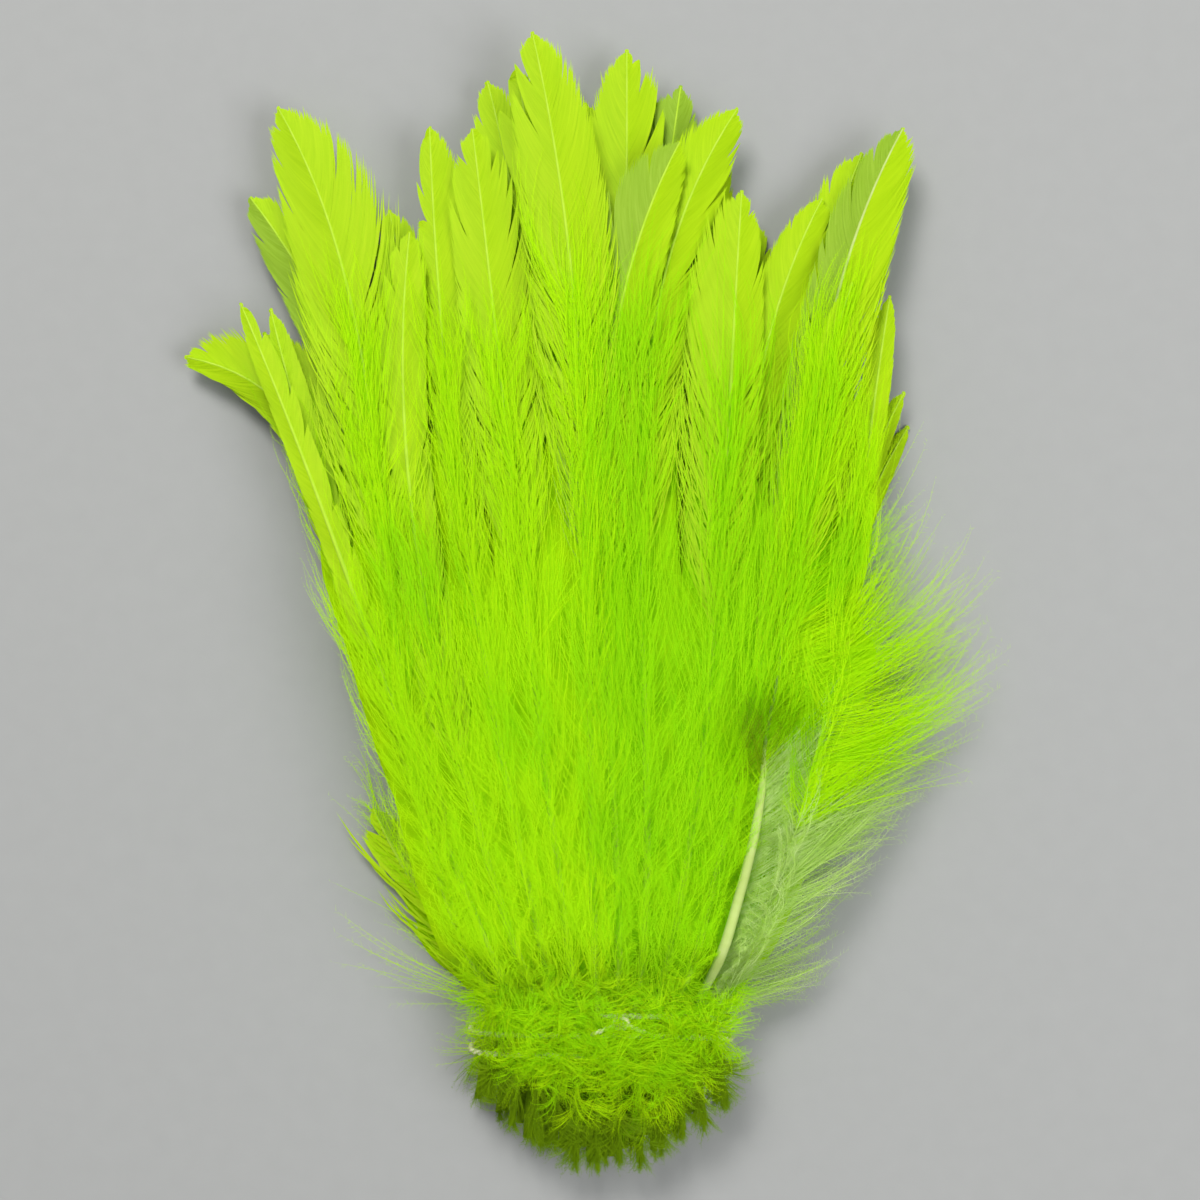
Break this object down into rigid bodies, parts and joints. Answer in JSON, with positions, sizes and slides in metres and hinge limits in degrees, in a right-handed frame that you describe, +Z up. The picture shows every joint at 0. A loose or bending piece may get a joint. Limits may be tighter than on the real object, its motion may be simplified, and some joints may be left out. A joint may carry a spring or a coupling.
{
  "type": "strung bunch of dyed hackle feathers",
  "caption": "Bunch of soft dyed hackle feathers strung together at the quills and lying flat, as used for fly tying, costume and craft trimming.",
  "frame": {"origin": "middle of the bunch's bounding box, on the surface it lies on", "axes": "+Y from the tied quills to the feather tips, +X to the right seen from above, +Z up"},
  "size_m": [0.1136, 0.1596, 0.0182],
  "materials": {
    "dyed_feather": "soft barbs dyed a fluorescent yellow-green, dull, with paler shafts",
    "cotton": "twisted cotton string, stained pale yellow by the dye"
  },
  "bodies": {
    "root": {"bottom_feather_01": "dyed_feather", "bottom_feather_02": "dyed_feather", "bottom_feather_03": "dyed_feather", "bottom_feather_04": "dyed_feather", "bottom_feather_05": "dyed_feather", "bottom_feather_06": "dyed_feather", "bottom_feather_07": "dyed_feather", "bottom_feather_08": "dyed_feather", "bottom_feather_09": "dyed_feather", "bottom_feather_10": "dyed_feather", "bottom_feather_11": "dyed_feather", "bottom_feather_12": "dyed_feather", "middle_feather_01": "dyed_feather", "middle_feather_02": "dyed_feather", "middle_feather_03": "dyed_feather", "middle_feather_04": "dyed_feather", "middle_feather_05": "dyed_feather", "middle_feather_06": "dyed_feather", "middle_feather_07": "dyed_feather", "middle_feather_08": "dyed_feather", "middle_feather_09": "dyed_feather", "middle_feather_10": "dyed_feather", "middle_feather_11": "dyed_feather", "middle_feather_12": "dyed_feather", "top_feather_01": "dyed_feather", "top_feather_02": "dyed_feather", "top_feather_03": "dyed_feather", "top_feather_04": "dyed_feather", "top_feather_05": "dyed_feather", "top_feather_06": "dyed_feather", "top_feather_07": "dyed_feather", "top_feather_08": "dyed_feather", "top_feather_09": "dyed_feather", "top_feather_10": "dyed_feather", "top_feather_11": "dyed_feather", "top_feather_12": "dyed_feather", "string": "cotton"}
  },
  "joints": []
}
